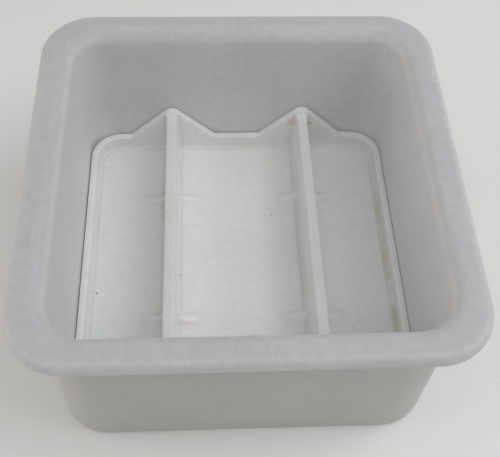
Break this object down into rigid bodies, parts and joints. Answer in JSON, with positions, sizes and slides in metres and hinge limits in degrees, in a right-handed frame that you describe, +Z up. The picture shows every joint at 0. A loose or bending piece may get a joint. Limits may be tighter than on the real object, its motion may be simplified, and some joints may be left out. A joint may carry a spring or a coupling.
{
  "type": "cheese mould with follower",
  "caption": "Open square tub with a rolled rim for pressing a block of cheese, with a ribbed follower plate that slides down inside it.",
  "frame": {"origin": "centre of the tub's underside", "axes": "+Z up out of the tub's mouth, +Y along the follower's ribs away from the front, +X to the right of the front"},
  "size_m": [0.4, 0.4, 0.198],
  "materials": {
    "mould_polyethylene": "satin milky natural polyethylene, slightly translucent, faintly mottled and scuffed",
    "follower_polyethylene": "satin white polyethylene with olive whey residue along its joints and a few dark specks"
  },
  "bodies": {
    "mould": {"mould_body": "mould_polyethylene"},
    "follower": {"follower_plate": "follower_polyethylene", "follower_left_lip": "follower_polyethylene", "follower_right_lip": "follower_polyethylene", "follower_rear_wall": "follower_polyethylene", "follower_front_wall": "follower_polyethylene", "follower_left_rib": "follower_polyethylene", "follower_right_rib": "follower_polyethylene", "gusset_left_rear_outer": "follower_polyethylene", "gusset_left_rear_inner": "follower_polyethylene", "gusset_left_front_outer": "follower_polyethylene", "gusset_left_front_inner": "follower_polyethylene", "gusset_right_rear_outer": "follower_polyethylene", "gusset_right_rear_inner": "follower_polyethylene", "gusset_right_front_outer": "follower_polyethylene", "gusset_right_front_inner": "follower_polyethylene"}
  },
  "joints": [
    {"name": "follower_slide", "type": "slide", "parent": "mould", "child": "follower", "axis": [0, 0, 1], "range_m": [0, 0.2]}
  ]
}
